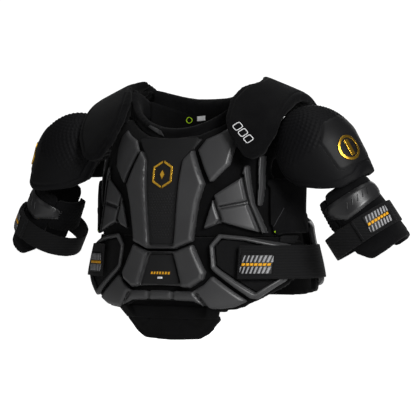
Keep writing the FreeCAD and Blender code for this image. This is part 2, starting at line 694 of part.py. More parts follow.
def arm_cone(name, radius_top, radius_low, top, low, shift=0.0):
    """A round cone along the arm between two stations below the cap's centre; radii are sums of cells."""
    cone = doc.addObject("Part::Cone", name)
    bind(cone, Radius1=radius_low, Radius2=radius_top)
    cone.Height = low - top
    cone.Placement = on_arm(shift, 0, -low)
    return cone


def arm_block(name, x, y, z):
    """A box in the arm's frame, given by its ranges."""
    box = Part.makeBox(x[1] - x[0], y[1] - y[0], z[1] - z[0], Vector(x[0], y[0], z[0]))
    return feature(name, box, ARM)


def arm_side_prism(name, points, radius=6.0):
    """An outline in the arm's x and z, extruded through the whole depth of the arm."""
    return feature(name, prism_shape(points, -120, 120, radius), ARM)


def arm_outline(name, points, direction, radius=6.0):
    """An outline seen from outside the arm along a direction in its x-y plane, as a cutting prism."""
    facing = math.radians(direction)
    outward = Vector(math.cos(facing), math.sin(facing), 0)
    sideways = Vector(-math.sin(facing), math.cos(facing), 0)
    turn = Rotation(sideways, Vector(0, 0, 1), outward, "XYZ")
    solid = Part.Face(rounded(points, radius)).extrude(Vector(0, 0, 150))
    return feature(name, solid, ARM.multiply(Placement(Vector(), turn)))


def dome(name, inset):
    """The cap's outer form, or one inside it: an ellipsoid's upper half on a tapered skirt."""
    radius = f"cap_radius - ( {inset} )"
    half = doc.addObject("Part::Ellipsoid", name + "_dome")
    bind(half, Radius1=f"cap_height - ( {inset} )", Radius2=radius, Radius3=radius)
    half.Angle1, half.Angle2 = 0, 90
    half.Placement = ARM
    skirt = arm_cone(name + "_skirt", radius, radius + " - cap_taper", 0, size("cap_skirt"))
    return fuse(name, half, skirt)


CAP_EDGE = size("cap_radius") - 14  # the cap is open on its inner side, from here inward
CAP_RIM = size("cap_skirt") - 2


def shoulder_cap():
    """A domed cap, open to the body, whose rim falls from the inner side to the front and back."""
    outside, between = dome("cap_outside", "0"), dome("cap_between", "cap_wall")
    inside = dome("cap_inside", "cap_wall + cap_lining")
    profile = [
        (-CAP_EDGE, 100), (-CAP_EDGE, -8), (-CAP_EDGE + 16, -28), (2, -CAP_RIM + 16),
        (28, -CAP_RIM + 1), (50, -CAP_RIM), (CAP_EDGE + 10, -CAP_RIM + 12), (100, -CAP_RIM + 18), (100, 100),
    ]
    keep = arm_side_prism("cap_profile", profile, 12)
    pair("shoulder_cap", common("shoulder_cap_solid", cut("cap_wall_shell", outside, between), keep))
    pair("cap_lining", common("cap_lining_solid", cut("cap_lining_shell", between, inside), keep))


def cap_insert():
    """A smooth panel on the cap's outer side, with a ring and a stud on it."""
    outside = dome("insert_outside", "0 - insert_rise")
    shell = cut("insert_shell", outside, doc.getObject("cap_outside"))
    outline = [(-46, 8), (-20, 34), (24, 34), (46, 8), (40, -CAP_RIM + 20), (-40, -CAP_RIM + 20)]
    pair("cap_insert", common("cap_insert_solid", shell, arm_outline("insert_outline", outline, -14, 12)))
    shell = cut("cap_badge_shell", dome("badge_outside", "0 - insert_rise - badge_rise"), outside)
    middle, direction = Vector(0, -6, -22), Vector(1, 0, 0)
    ring = Part.makeCylinder(20, 100, middle, direction).cut(Part.makeCylinder(16, 100, middle, direction))
    bar = Part.makeBox(100, 8, 26, Vector(0, -10, -35))
    turned = Placement(Vector(), Rotation(Vector(0, 0, 1), -16))
    mark = feature("cap_badge_mark", Part.makeCompound([ring, bar]), ARM.multiply(turned))
    pair("cap_badge", common("cap_badge_solid", shell, mark))


GUARD_TOP = size("guard_top")
GUARD_LOW = GUARD_TOP + size("guard_length")
GUARD_EDGE = -16.0  # the guard is open on its inner side, from here inward


def guard_form(name, offset):
    """The guard's outer form, which widens down the arm, or one outside or inside it."""
    top, low = f"guard_radius_top + ( {offset} )", f"guard_radius_low + ( {offset} )"
    return arm_cone(name, top, low, GUARD_TOP, GUARD_LOW)


def biceps_guard():
    outer = guard_form("guard_outer", "0")
    shell = cut("guard_shell", outer, guard_form("guard_inner", "0 - guard_wall"))
    profile = [
        (GUARD_EDGE, -GUARD_TOP), (100, -GUARD_TOP), (100, -GUARD_LOW + 12), (30, -GUARD_LOW),
        (4, -GUARD_LOW), (GUARD_EDGE, -GUARD_LOW + 22),
    ]
    keep = arm_side_prism("guard_profile", profile, 12)
    pair("biceps_guard", common("guard_solid", shell, keep))
    plate = [
        (-43, -CAP_RIM - 8), (44, -CAP_RIM - 8), (47, -CAP_RIM - 34), (36, -CAP_RIM - 40),
        (-28, -CAP_RIM - 47), (-45, -CAP_RIM - 30),
    ]
    shell = cut("guard_plate_shell", guard_form("guard_plate_out", "guard_plate"), outer)
    pair("biceps_plate", common("biceps_plate_solid", shell, arm_outline("plate_outline", plate, -50)))


STRAP_LEVEL = (GUARD_TOP + GUARD_LOW) / 2 + 14.5


def strap_tube(name, grown, spare=0.0):
    """A tube form round the guard at the strap's level, from the loop's inside plus a growth."""
    half, radius = size("arm_strap_width") / 2 + spare, f"strap_ring + {grown}"
    ends = (STRAP_LEVEL - half, STRAP_LEVEL + half)
    return arm_cone(name, radius, radius, *ends, -size("strap_ring_shift"))


def arm_strap():
    """The elastic loop round the biceps guard, and the hook tab that closes over its front."""
    outer = strap_tube("strap_outer", "strap_thick")
    pair("biceps_strap", cut("biceps_strap_solid", outer, strap_tube("strap_inner", "0", 5)))
    tab_inner = strap_tube("tab_inner", "strap_thick + clearance", 5)
    tab_outer = strap_tube("tab_outer", "strap_thick + clearance + tab_thick")
    over = cut("tab_shell", tab_outer, tab_inner)
    half = size("arm_strap_width") / 2
    outline = [
        (-36, -STRAP_LEVEL - half), (32, -STRAP_LEVEL - half), (36, -STRAP_LEVEL + half),
        (-36, -STRAP_LEVEL + half),
    ]
    pair("strap_tab", common("strap_tab_solid", over, arm_outline("tab_outline", outline, -42, 2)))


def arm_pad():
    """The soft pad over the front inner side of the arm, between the cap and the strap."""
    top, low = GUARD_TOP + 6, size("pad_low")
    outer = arm_cone("pad_outer", "guard_radius_top + 1", "guard_radius_top + 5", top, low)
    inner = arm_cone("pad_inner", "guard_radius_top - 9", "guard_radius_top - 5", top, low)
    shell = cut("pad_shell", outer, inner)
    keep = arm_block("pad_keep", (-100, GUARD_EDGE - 1), (-140, 20), (-low, -top))
    blank = common("arm_pad_blank", shell, keep)
    pair("arm_pad", cut("arm_pad_solid", blank, PIECES["biceps_plate_left"]))


# ---------------------------------------------------------------------------- assembly and output
for build in (
    chest_liner, belly_liner, sternum, chest_badge, tail, pec_plate, rib_plate, side_plate,
    side_panel, belly_wing, flank_tab, crescent_plate, abdomen_flap, back_panel, spine_plate,
    back_plates, waist_strap, collar, shoulder_arch, shoulder_cap, cap_insert, biceps_guard,
    arm_strap, arm_pad,
):
    build()
doc.recompute()

for item in doc.Objects:
    if "Invalid" in item.State or "Error" in item.State:
        raise RuntimeError(f"{item.Name} failed: {item.State}")
for label, item in PIECES.items():
    if item.Shape.isNull() or not item.Shape.isValid() or not item.Shape.Solids:
        raise RuntimeError(f"{label} has no valid solid")

os.makedirs("parts", exist_ok=True)
for label, item in PIECES.items():
    shape = item.Shape.Solids[0] if len(item.Shape.Solids) == 1 else item.Shape
    shape.exportStep(os.path.join("parts", label + ".step"))
    print(label, len(item.Shape.Solids), round(item.Shape.Volume / 1000, 1), "cm3")
print(len(PIECES), "nodes")
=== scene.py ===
import json
import math

import bmesh
import bpy
from mathutils import Matrix, Vector
from mathutils.bvhtree import BVHTree
from mathutils.kdtree import KDTree


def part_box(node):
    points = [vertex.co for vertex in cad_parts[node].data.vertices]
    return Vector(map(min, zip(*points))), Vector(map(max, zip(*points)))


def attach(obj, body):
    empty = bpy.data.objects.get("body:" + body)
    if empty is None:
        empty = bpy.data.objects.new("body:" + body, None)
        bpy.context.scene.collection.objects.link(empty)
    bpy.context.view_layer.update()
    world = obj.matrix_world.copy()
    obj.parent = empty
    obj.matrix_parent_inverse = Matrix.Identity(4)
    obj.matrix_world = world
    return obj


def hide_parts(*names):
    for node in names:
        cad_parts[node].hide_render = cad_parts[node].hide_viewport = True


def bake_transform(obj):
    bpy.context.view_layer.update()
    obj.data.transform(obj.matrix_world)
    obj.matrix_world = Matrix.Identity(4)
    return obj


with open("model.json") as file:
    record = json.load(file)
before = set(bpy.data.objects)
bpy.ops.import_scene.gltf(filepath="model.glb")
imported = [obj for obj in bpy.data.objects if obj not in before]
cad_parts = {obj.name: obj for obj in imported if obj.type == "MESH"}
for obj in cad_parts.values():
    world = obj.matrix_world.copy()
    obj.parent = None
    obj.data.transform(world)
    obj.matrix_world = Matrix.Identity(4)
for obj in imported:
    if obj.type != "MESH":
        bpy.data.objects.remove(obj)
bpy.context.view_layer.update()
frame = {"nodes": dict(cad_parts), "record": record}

MM = 0.001
SIDES = (("left", 1), ("right", -1))
BODY_OF = {
    node: body for body, nodes in frame["record"]["behaviour"]["bodies"].items() for node in nodes
}


# ------------------------------------------------------------------ finishes
def colour(code):
    """A finish's sRGB hex value as the linear colour that the shader takes."""
    parts = [int(code[i : i + 2], 16) / 255 for i in (1, 3, 5)]
    return [p / 12.92 if p <= 0.04045 else ((p + 0.055) / 1.055) ** 2.4 for p in parts] + [1.0]


def add(tree, kind, links=(), **settings):
    """A shader node with its settings, and its inputs linked as (input, from node, from output)."""
    made = tree.nodes.new(kind)
    for key, value in settings.items():
        if key.startswith("in_"):
            made.inputs[key[3:].replace("_", " ")].default_value = value
        else:
            setattr(made, key, value)
    for socket, source, output in links:
        tree.links.new(source.outputs[output], made.inputs[socket])
    return made


def finish(name, base, roughness, **more):
    """A material with one principled shader, ready for its texture nodes."""
    material = bpy.data.materials.new(name)
    material.use_nodes = True
    tree = material.node_tree
    shader = tree.nodes["Principled BSDF"]
    shader.inputs["Base Color"].default_value = colour(base)
    shader.inputs["Roughness"].default_value = roughness
    for key, value in more.items():
        shader.inputs[key.replace("_", " ")].default_value = value
    return material, tree, shader


def relief(tree, shader, height, output, strength, depth):
    bump = add(tree, "ShaderNodeBump", [("Height", height, output)], in_Strength=strength, in_Distance=depth)
    tree.links.new(bump.outputs["Normal"], shader.inputs["Normal"])


def tones(tree, shader, source, output, dark, light, low=0.35, high=0.65):
    """Mottles the base colour between two hex values by a texture's output."""
    ramp = add(tree, "ShaderNodeValToRGB", [("Fac", source, output)])
    ramp.color_ramp.elements[0].position = low
    ramp.color_ramp.elements[0].color = colour(dark)
    ramp.color_ramp.elements[1].position = high
    ramp.color_ramp.elements[1].color = colour(light)
    tree.links.new(ramp.outputs["Color"], shader.inputs["Base Color"])


def knitted(name, dark, light, pitch_mm, roughness=0.9, sheen=0.04):
    """Warp-knitted polyester face on foam: dull, with a faint grain of loops and a little nap."""
    material, tree, shader = finish(name, dark, roughness, Sheen_Weight=sheen, Sheen_Roughness=0.5)
    shader.inputs["Specular IOR Level"].default_value = 0.06
    place = add(tree, "ShaderNodeTexCoord")
    loops = add(tree, "ShaderNodeTexVoronoi", [("Vector", place, "Object")], in_Scale=1000 / pitch_mm)
    cloud = add(tree, "ShaderNodeTexNoise", [("Vector", place, "Object")], in_Scale=28, in_Detail=3)
    tones(tree, shader, cloud, "Fac", dark, light)
    relief(tree, shader, loops, "Distance", 0.35, 0.0006)
    return material


def moulded_foam(name, dark, light, roughness, grain_mm=1.6, coat=0.0, shine=0.5):
    """Compression-moulded EVA: an even satin skin with the fine pebble of the mould."""
    material, tree, shader = finish(name, dark, roughness, Coat_Weight=coat, Coat_Roughness=0.35)
    shader.inputs["Specular IOR Level"].default_value = shine
    place = add(tree, "ShaderNodeTexCoord")
    pebble = add(
        tree, "ShaderNodeTexNoise", [("Vector", place, "Object")], in_Scale=1000 / grain_mm, in_Detail=2
    )
    cloud = add(tree, "ShaderNodeTexNoise", [("Vector", place, "Object")], in_Scale=14, in_Detail=2)
    tones(tree, shader, cloud, "Fac", dark, light, 0.3, 0.7)
    relief(tree, shader, pebble, "Fac", 0.12, 0.0004)
    return material


def webbing(name, dark, light, rib_mm, axis="Z"):
    """Woven elastic: fine cords side by side across the band, dull on top and darker between."""
    material, tree, shader = finish(name, dark, 0.8, Sheen_Weight=0.03)
    shader.inputs["Specular IOR Level"].default_value = 0.15
    place = add(tree, "ShaderNodeTexCoord")
    ribs = add(
        tree, "ShaderNodeTexWave", [("Vector", place, "Object")],
        wave_type="BANDS", bands_direction=axis, in_Scale=1000 / rib_mm / 20 * math.pi, in_Distortion=0.3,
    )
    tones(tree, shader, ribs, "Fac", dark, light, 0.1, 0.9)
    relief(tree, shader, ribs, "Fac", 0.5, 0.0005)
    return material


def printed(name, base, roughness=0.45):
    """Plastisol ink: a thin, smooth, slightly shiny skin on the fabric."""
    material, tree, shader = finish(name, base, roughness)
    shader.inputs["Specular IOR Level"].default_value = 0.15
    place = add(tree, "ShaderNodeTexCoord")
    weave = add(tree, "ShaderNodeTexNoise", [("Vector", place, "Object")], in_Scale=900, in_Detail=1)
    relief(tree, shader, weave, "Fac", 0.1, 0.0003)
    return material


def metallised(name, base, roughness=0.24):
    """Vacuum-metallised plastic badge: bright gold with soft, slightly wavy reflections."""
    material, tree, shader = finish(name, base, roughness, Metallic=1.0)
    place = add(tree, "ShaderNodeTexCoord")
    wave = add(tree, "ShaderNodeTexNoise", [("Vector", place, "Object")], in_Scale=60, in_Detail=1)
    relief(tree, shader, wave, "Fac", 0.15, 0.0008)
    return material


def loop_pile(name, dark, light):
    """Hook-and-loop landing fabric: a dense felt of nylon loops that swallows light."""
    material, tree, shader = finish(name, dark, 1.0, Sheen_Weight=0.03, Sheen_Roughness=0.8)
    shader.inputs["Specular IOR Level"].default_value = 0.05
    place = add(tree, "ShaderNodeTexCoord")
    pile = add(
        tree,
        "ShaderNodeTexNoise",
        [("Vector", place, "Object")],
        in_Scale=700,
        in_Detail=4,
        in_Roughness=0.8,
    )
    tones(tree, shader, pile, "Fac", dark, light)
    relief(tree, shader, pile, "Fac", 0.8, 0.0012)
    return material


FLEECE = knitted("lining_fleece", "#060606", "#0a0a0b", 1.6)
SHELL = knitted("shell_knit", "#060607", "#0b0b0c", 1.4)
MESH_CLOTH = knitted("flank_mesh", "#060607", "#0c0c0d", 2.4)
EVA = moulded_foam("satin_eva", "#2b2b2c", "#333334", 0.42, shine=0.5)
EVA_DARK = moulded_foam("dark_eva", "#121213", "#171718", 0.6, shine=0.25)
CAP_EVA = moulded_foam("cap_eva", "#08080a", "#0c0c0d", 0.62, shine=0.1)
INSERT_EVA = moulded_foam("insert_eva", "#0b0b0c", "#101011", 0.52, shine=0.16)
GLOSSY = moulded_foam("gloss_shell", "#151516", "#1b1b1c", 0.36, coat=0.08)
PILE = loop_pile("loop_pile", "#060607", "#0c0c0d")
ELASTIC = webbing("elastic", "#050506", "#0b0b0c", 2.2)
GOLD = metallised("gold_badge", "#d9a93a")
INK_GREY = printed("grey_ink", "#8e8e90")
INK_LIGHT = printed("light_ink", "#d9d9da")
INK_GOLD = printed("gold_ink", "#d69a20")
INK_BLACK = printed("black_ink", "#0a0a0a")
NEON = printed("neon_ink", "#a9d51e")
THREAD = printed("thread", "#2c2c2e", 0.7)


# ------------------------------------------------------------------ meshes from the frame
def node_mesh(node):
    """A copy of a CAD node's mesh, in the row frame."""
    source = frame["nodes"][node]
    mesh = source.data.copy()
    mesh.transform(source.matrix_world)
    mesh.materials.clear()
    return mesh


def with_modifiers(mesh, *modifiers):
    """The mesh after a stack of modifiers, each a kind and its settings."""
    holder = bpy.data.objects.new("holder", mesh)
    bpy.context.scene.collection.objects.link(holder)
    for kind, settings in modifiers:
        modifier = holder.modifiers.new(kind, kind)
        for key, value in settings.items():
            setattr(modifier, key, value)
    graph = bpy.context.evaluated_depsgraph_get()
    result = bpy.data.meshes.new_from_object(holder.evaluated_get(graph), depsgraph=graph)
    bpy.data.objects.remove(holder)
    return result


def moulding(mesh, voxel_mm, rounding, factor=0.5):
    """Rebuilds a solid as an even mesh with rounded edges, as foam comes out of a mould."""
    return with_modifiers(
        mesh,
        ("REMESH", {"mode": "VOXEL", "voxel_size": voxel_mm * MM, "adaptivity": 0.0}),
        ("SMOOTH", {"factor": factor, "iterations": rounding}),
    )


def sharp_edges(mesh, angle=38):
    """Points along a solid's sharp edges, about a millimetre apart."""
    shape = bmesh.new()
    shape.from_mesh(mesh)
    bmesh.ops.remove_doubles(shape, verts=shape.verts, dist=0.02 * MM)
    points = []
    for edge in shape.edges:
        if len(edge.link_faces) == 2 and edge.calc_face_angle(0) > math.radians(angle):
            a, b = (v.co for v in edge.verts)
            steps = max(1, int((b - a).length / MM))
            points += [a.lerp(b, i / steps) for i in range(steps + 1)]
    shape.free()
    return points


def tree_of(points):
    tree = KDTree(len(points))
    for i, point in enumerate(points):
        tree.insert(point, i)
    tree.balance()
    return tree


def ease(value):
    value = min(1.0, max(0.0, value))
    return value * value * (3 - 2 * value)


def shaped(mesh, move):
    """Moves every vertex along its normal by what move(point, normal) gives, in metres."""
    places = []
    for vertex in mesh.vertices:
        place, normal = vertex.co.copy(), vertex.normal.copy()
        places.extend(place + normal * move(place, normal))
    mesh.vertices.foreach_set("co", places)
    mesh.update()
    return mesh


def crowned(mesh, edges, crown_mm, reach_mm, seams=(), seam_mm=0.0, seam_reach_mm=5.0, hem=None):
    """Swells a padded form away from its edges, and draws it in along its seams and its hem.

    The hem is a stitched channel all round: its distance from the edge, its depth and half width, in mm.
    """
    border = tree_of(edges)
    stitched = tree_of(list(seams)) if seams else None

    def move(point, normal):
        inset = border.find(point)[2] / MM
        amount = crown_mm * ease(inset / reach_mm)
        if hem:
            amount -= hem[1] * math.exp(-(((inset - hem[0]) / hem[2]) ** 2))
        if stitched:
            near = stitched.find(point)[2] / (seam_reach_mm * MM)
            amount -= seam_mm * math.exp(-near * near)
        return amount * MM

    return shaped(mesh, move)


def chamfered(mesh, edges, width_mm, depth_mm):
    """Sinks a moulded plate towards its edges, as a broad bevel."""
    border = tree_of(edges)
    return shaped(
        mesh, lambda p, n: -depth_mm * MM * (1 - ease(border.find(p)[2] / (width_mm * MM)))
    )


def polished(mesh):
    for face in mesh.polygons:
        face.use_smooth = True
    return mesh


def piece(name, mesh, body, material, replaces=()):
    """An object in the row frame that moves with a CAD body and stands for the nodes it replaces."""
    made = bpy.data.objects.new(name, polished(mesh))
    bpy.context.scene.collection.objects.link(made)
    mesh.materials.clear()
    mesh.materials.append(material)
    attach(made, body)
    if replaces:
        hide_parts(*replaces)
    return made


def mirrored(mesh):
    """The same mesh on the wearer's other side."""
    other = mesh.copy()
    other.transform(Matrix.Diagonal((-1, 1, 1, 1)))
    other.flip_normals()
    return other


MADE = {}  # piece name to object, for what is laid on it


def both(stem, mesh, material):
    """A left and a right piece in place of a pair of nodes."""
    for side, sign in SIDES:
        node = f"{stem}_{side}"
        own = mesh if sign == 1 else mirrored(mesh)
        MADE[node] = piece("look_" + node, own, BODY_OF[node], material, [node])


def one(node, mesh, material):
    MADE[node] = piece("look_" + node, mesh, BODY_OF[node], material, [node])


def inflated(mesh, pressure, limit_mm, held=None):
    """Blows a padded form up as cloth, with its seams held and no point moving past the limit."""
    start = [v.co.copy() for v in mesh.vertices]
    holder = bpy.data.objects.new("holder", mesh)
    bpy.context.scene.collection.objects.link(holder)
    if held:
        group = holder.vertex_groups.new(name="held")
        seam = tree_of(held)
        fixed = [v.index for v in mesh.vertices if seam.find(v.co)[2] < 4 * MM]
        group.add(fixed, 1.0, "REPLACE")
    cloth = holder.modifiers.new("cloth", "CLOTH")
    settings = cloth.settings
    settings.use_pressure = True
    settings.uniform_pressure_force = pressure
    settings.effector_weights.gravity = 0
    settings.tension_stiffness = 15
    settings.bending_stiffness = 0.5
    settings.quality = 5
    if held:
        settings.vertex_group_mass = "held"
    cloth.point_cache.frame_start, cloth.point_cache.frame_end = 1, 20
    for step in range(1, 21):
        bpy.context.scene.frame_set(step)
    graph = bpy.context.evaluated_depsgraph_get()
    result = bpy.data.meshes.new_from_object(holder.evaluated_get(graph), depsgraph=graph)
    bpy.data.objects.remove(holder)
    bpy.context.scene.frame_set(1)
    for vertex, origin in zip(result.vertices, start):
        moved = vertex.co - origin
        if moved.length > limit_mm * MM:
            vertex.co = origin + moved.normalized() * (limit_mm * MM)
    result.update()
    return result


# ------------------------------------------------------------------ cords, bindings and prints
def tube(points, radius_mm, closed=False):
    """A round bead along a line of points, as a mesh."""
    curve = bpy.data.curves.new("bead", "CURVE")
    curve.dimensions = "3D"
    curve.bevel_depth = radius_mm * MM
    curve.bevel_resolution = 3
    curve.use_fill_caps = True
    spline = curve.splines.new("POLY")
    spline.points.add(len(points) - 1)
    for target, point in zip(spline.points, points):
        target.co = (*point, 1)
    spline.use_cyclic_u = closed
    holder = bpy.data.objects.new("holder", curve)
    bpy.context.scene.collection.objects.link(holder)
    graph = bpy.context.evaluated_depsgraph_get()
    mesh = bpy.data.meshes.new_from_object(holder.evaluated_get(graph), depsgraph=graph)
    bpy.data.objects.remove(holder)
    bpy.data.curves.remove(curve)
    return mesh


def evened(points, spacing_mm, closed=False, passes=4):
    """The same line with evenly spaced points and its kinks eased."""
    line = list(points) + ([points[0]] if closed else [])
    lengths = [0.0]
    for a, b in zip(line, line[1:]):
        lengths.append(lengths[-1] + (b - a).length)
    count = max(4, int(lengths[-1] / (spacing_mm * MM)))
    result, k = [], 0
    for i in range(count if closed else count + 1):
        want = lengths[-1] * i / count
        while k < len(lengths) - 2 and lengths[k + 1] < want:
            k += 1
        span = lengths[k + 1] - lengths[k]
        result.append(line[k].lerp(line[k + 1], (want - lengths[k]) / span if span else 0))
    for _ in range(passes):
        eased = []
        for i, point in enumerate(result):
            if closed or 0 < i < len(result) - 1:
                before, after = result[i - 1], result[(i + 1) % len(result)]
                eased.append(point * 0.5 + (before + after) * 0.25)
            else:
                eased.append(point)
        result = eased
    return result


def joined(meshes):
    shape = bmesh.new()
    for mesh in meshes:
        shape.from_mesh(mesh)
        bpy.data.meshes.remove(mesh)
    result = bpy.data.meshes.new("joined")
    shape.to_mesh(result)
    shape.free()
    return result


def surface_of(*names):
    """A search tree over finished pieces, in the row frame."""
    corners, faces = [], []
    for name in names:
        made = MADE[name]
        base = len(corners)
        corners += [made.matrix_world @ v.co for v in made.data.vertices]
        faces += [[base + i for i in f.vertices] for f in made.data.polygons]
    return BVHTree.FromPolygons(corners, faces)


def from_front(x, z, y=-0.4):
    return Vector((x * MM, y, z * MM)), Vector((0, 1, 0))


def from_back(x, z):
    return Vector((x * MM, 0.4, z * MM)), Vector((0, -1, 0))


def laid_line(points, surface, cast, spacing_mm=2.0, lift_mm=0.0, closed=False):
    """A line drawn on a surface: its corners, given flat, are evened and cast onto the piece."""
    flat = [Vector((u, v, 0)) * MM for u, v in points]
    flat = evened(flat, spacing_mm, closed, passes=3)
    result = []
    for point in flat:
        origin, direction = cast(point.x / MM, point.y / MM)
        hit, normal, _, _ = surface.ray_cast(origin, direction)
        if hit:
            result.append(hit + normal * (lift_mm * MM))
    return result


def laid_patch(outline, surface, cast, thick_mm, lift_mm=0.15, cell_mm=3.0):
    """A thin printed or sewn patch: a flat outline cut into cells and cast onto the piece."""
    shape = bmesh.new()
    face = shape.faces.new([shape.verts.new((u, v, 0)) for u, v in outline])
    face.normal_update()
    bmesh.ops.triangulate(shape, faces=[face])
    for _ in range(6):
        long = [e for e in shape.edges if e.calc_length() > cell_mm]
        if not long:
            break
        bmesh.ops.subdivide_edges(shape, edges=long, cuts=1)
        bmesh.ops.triangulate(shape, faces=shape.faces)
    missed = []
    for vertex in shape.verts:
        origin, direction = cast(vertex.co.x, vertex.co.y)
        hit, normal, _, _ = surface.ray_cast(origin, direction)
        if hit:
            vertex.co = hit - direction * (lift_mm * MM)
        else:
            missed.append(vertex)
    bmesh.ops.delete(shape, geom=missed, context="VERTS")
    origin, direction = cast(*outline[0])
    shape.normal_update()
    if shape.faces and sum((f.normal for f in shape.faces), Vector()).dot(direction) > 0:
        bmesh.ops.reverse_faces(shape, faces=shape.faces)
    mesh = bpy.data.meshes.new("patch")
    shape.to_mesh(mesh)
    shape.free()
    return with_modifiers(mesh, ("SOLIDIFY", {"thickness": thick_mm * MM, "offset": 1.0}))


# ------------------------------------------------------------------ the vest's moulded plates
def plate(node, voxel_mm=1.8, rounding=3, bevel=(8.0, 2.6)):
    source = node_mesh(node)
    edges = sharp_edges(source)
    return chamfered(moulding(source, voxel_mm, rounding), edges, *bevel)


def foam_plates():
    """Compression-moulded plates on the liner, with broad soft bevels round every facet."""
    one("sternum_plate", plate("sternum_plate", 1.3, 3, (6, 2.0)), EVA)
    neck = MADE["sternum_plate"].data
    neck.materials.append(EVA_DARK)
    rail_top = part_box("sternum_plate")[1][2] - 21 * MM
    for face in neck.polygons:
        face.material_index = int(face.center.z > rail_top)
    one("tail_plate", plate("tail_plate", 1.3, 3, (7, 2.4)), EVA)
    one("crescent_plate", plate("crescent_plate", 1.4, 3, (6, 2.2)), EVA)
    one("spine_plate", plate("spine_plate", 2.2, 3, (8, 3.0)), EVA)
    for stem, voxel_mm, bevel in (
        ("pec_plate", 1.2, (6, 2.2)),
        ("rib_plate", 0.9, (5, 1.8)),
        ("side_plate", 0.9, (4, 1.5)),
        ("belly_wing", 1.2, (4, 1.8)),
        ("scapula_plate", 2.2, (10, 3.5)),
        ("kidney_plate", 2.4, (10, 3.0)),
    ):
        both(stem, plate(stem + "_left", voxel_mm, 3, bevel), EVA)


DOT_PITCH = 5.0


def dotted(mesh, centres, radius_mm, height_mm):
    """Raises a small round dot at each centre."""
    dots = tree_of(centres)
    return shaped(
        mesh, lambda p, n: height_mm * MM * (1 - ease(dots.find(p)[2] / (radius_mm * MM)))
    )


def inlays():
    """Dark inlays: the sternum's carries rows of small embossed dots under the badge."""
    mesh = moulding(node_mesh("sternum_inlay"), 0.6, 3)
    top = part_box("sternum_inlay")[1][2]
    for vertex in mesh.vertices:
        vertex.co += Vector((0, -0.7, 5.5)) * MM * ease((vertex.co.z - top) / (12 * MM) + 1)
    surface = BVHTree.FromPolygons([v.co for v in mesh.vertices], [list(f.vertices) for f in mesh.polygons])
    centres = []
    for row in range(22):
        z = -122 - row * DOT_PITCH * 0.87
        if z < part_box("sternum_inlay")[0][2] / MM + 7:
            break
        for column in range(-5, 6):
            x = (column + 0.5 * (row % 2)) * DOT_PITCH
            hit = surface.ray_cast(*from_front(x, z))[0]
            if hit and abs(x) < 17 + (z + 205) * 0.11:
                centres.append(hit)
    one("sternum_inlay", dotted(mesh, centres, 1.7, 1.1), EVA_DARK)
    one("tail_inlay", moulding(node_mesh("tail_inlay"), 0.9, 2), EVA_DARK)


def badges():
    """Metallised badges, moulded on the plates and proud of them."""
    low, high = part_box("chest_badge")
    w, h, middle = (high[0] - low[0]) / 2 / MM, (high[2] - low[2]) / 2 / MM, (high[2] + low[2]) / 2 / MM
    surface = surface_of("sternum_inlay")
    outlines = [[(0, 0.34 * h), (0.24 * w, 0), (0, -0.34 * h), (-0.24 * w, 0)]]
    for sign in (1, -1):
        outer = [(0.9, h), (w, 0.55 * h), (w, -0.55 * h), (0.9, -h)]
        inner = [(0.9, 3.8 - h), (w - 3.2, 2.0 - 0.55 * h), (w - 3.2, 0.55 * h - 2.0), (0.9, h - 3.8)]
        outlines.append([(sign * u, v) for u, v in outer + inner])
    parts = []
    for outline in outlines:
        parts.append(laid_patch([(u, middle + v) for u, v in outline], surface, from_front, 1.7, -0.2, 2.0))
    mesh = with_modifiers(
        joined(parts), ("BEVEL", {"width": 0.5 * MM, "segments": 2, "limit_method": "ANGLE"})
    )
    one("chest_badge", mesh, GOLD)
    both("cap_badge", moulding(node_mesh("cap_badge_left"), 0.35, 2), GOLD)


# ------------------------------------------------------------------ the vest's soft parts
def soft(node, voxel_mm, rounding, crown, reach, **more):
    source = node_mesh(node)
    return crowned(moulding(source, voxel_mm, rounding), sharp_edges(source), crown, reach, **more)


def liners():
    """The foam liner under the plates, covered in brushed fleece."""
    for node in ("chest_liner", "belly_liner", "back_liner"):
        one(node, soft(node, 3.5, 5, 1.0, 25), FLEECE)
    for stem in ("front_yoke", "back_yoke"):
        both(stem, soft(stem + "_left", 3, 4, 1.5, 20), FLEECE)
    one("flap_band", moulding(node_mesh("flap_band"), 3, 4), FLEECE)
    both("flank_tab", moulding(node_mesh("flank_tab_left"), 1.0, 2), ELASTIC)
    both("loop_panel", moulding(node_mesh("loop_panel_left"), 1.2, 2), PILE)


def ring_seam(mesh, share):
    """Points along the collar at a share of its height, all the way round its outer face."""
    bands = {}
    for vertex in mesh.vertices:
        x, y = vertex.co.x, vertex.co.y + 0.030
        key = round(math.degrees(math.atan2(y, x)) / 3)
        if math.hypot(x / 0.118, y / 0.066) > 0.96:
            bands.setdefault(key, []).append(vertex.co)
    points = []
    for key in sorted(bands):
        low, high = min(bands[key], key=lambda c: c.z), max(bands[key], key=lambda c: c.z)
        points.append(low.lerp(high, share))
    return evened(points, 2) if len(points) > 3 else points


def collar():
    """A puffy two-roll collar: a seam runs round it, and its bound top edge is left as a plain rounded edge.
    """
    for node in ("collar_front", "collar_back"):
        source = node_mesh(node)
        seam = ring_seam(source, 0.5)
        mesh = moulding(source, 3.0, 6)
        mesh = inflated(mesh, 4, 5, held=seam)
        mesh = crowned(mesh, sharp_edges(source), 1.5, 12, seams=seam, seam_mm=2.5, seam_reach_mm=4)
        one(node, with_modifiers(mesh, ("SUBSURF", {"levels": 1})), SHELL)


def flank():
    source = node_mesh("flank_pad_left")
    mesh = inflated(moulding(source, 4, 5), 4, 4)
    both("flank_pad", with_modifiers(mesh, ("SUBSURF", {"levels": 1})), MESH_CLOTH)


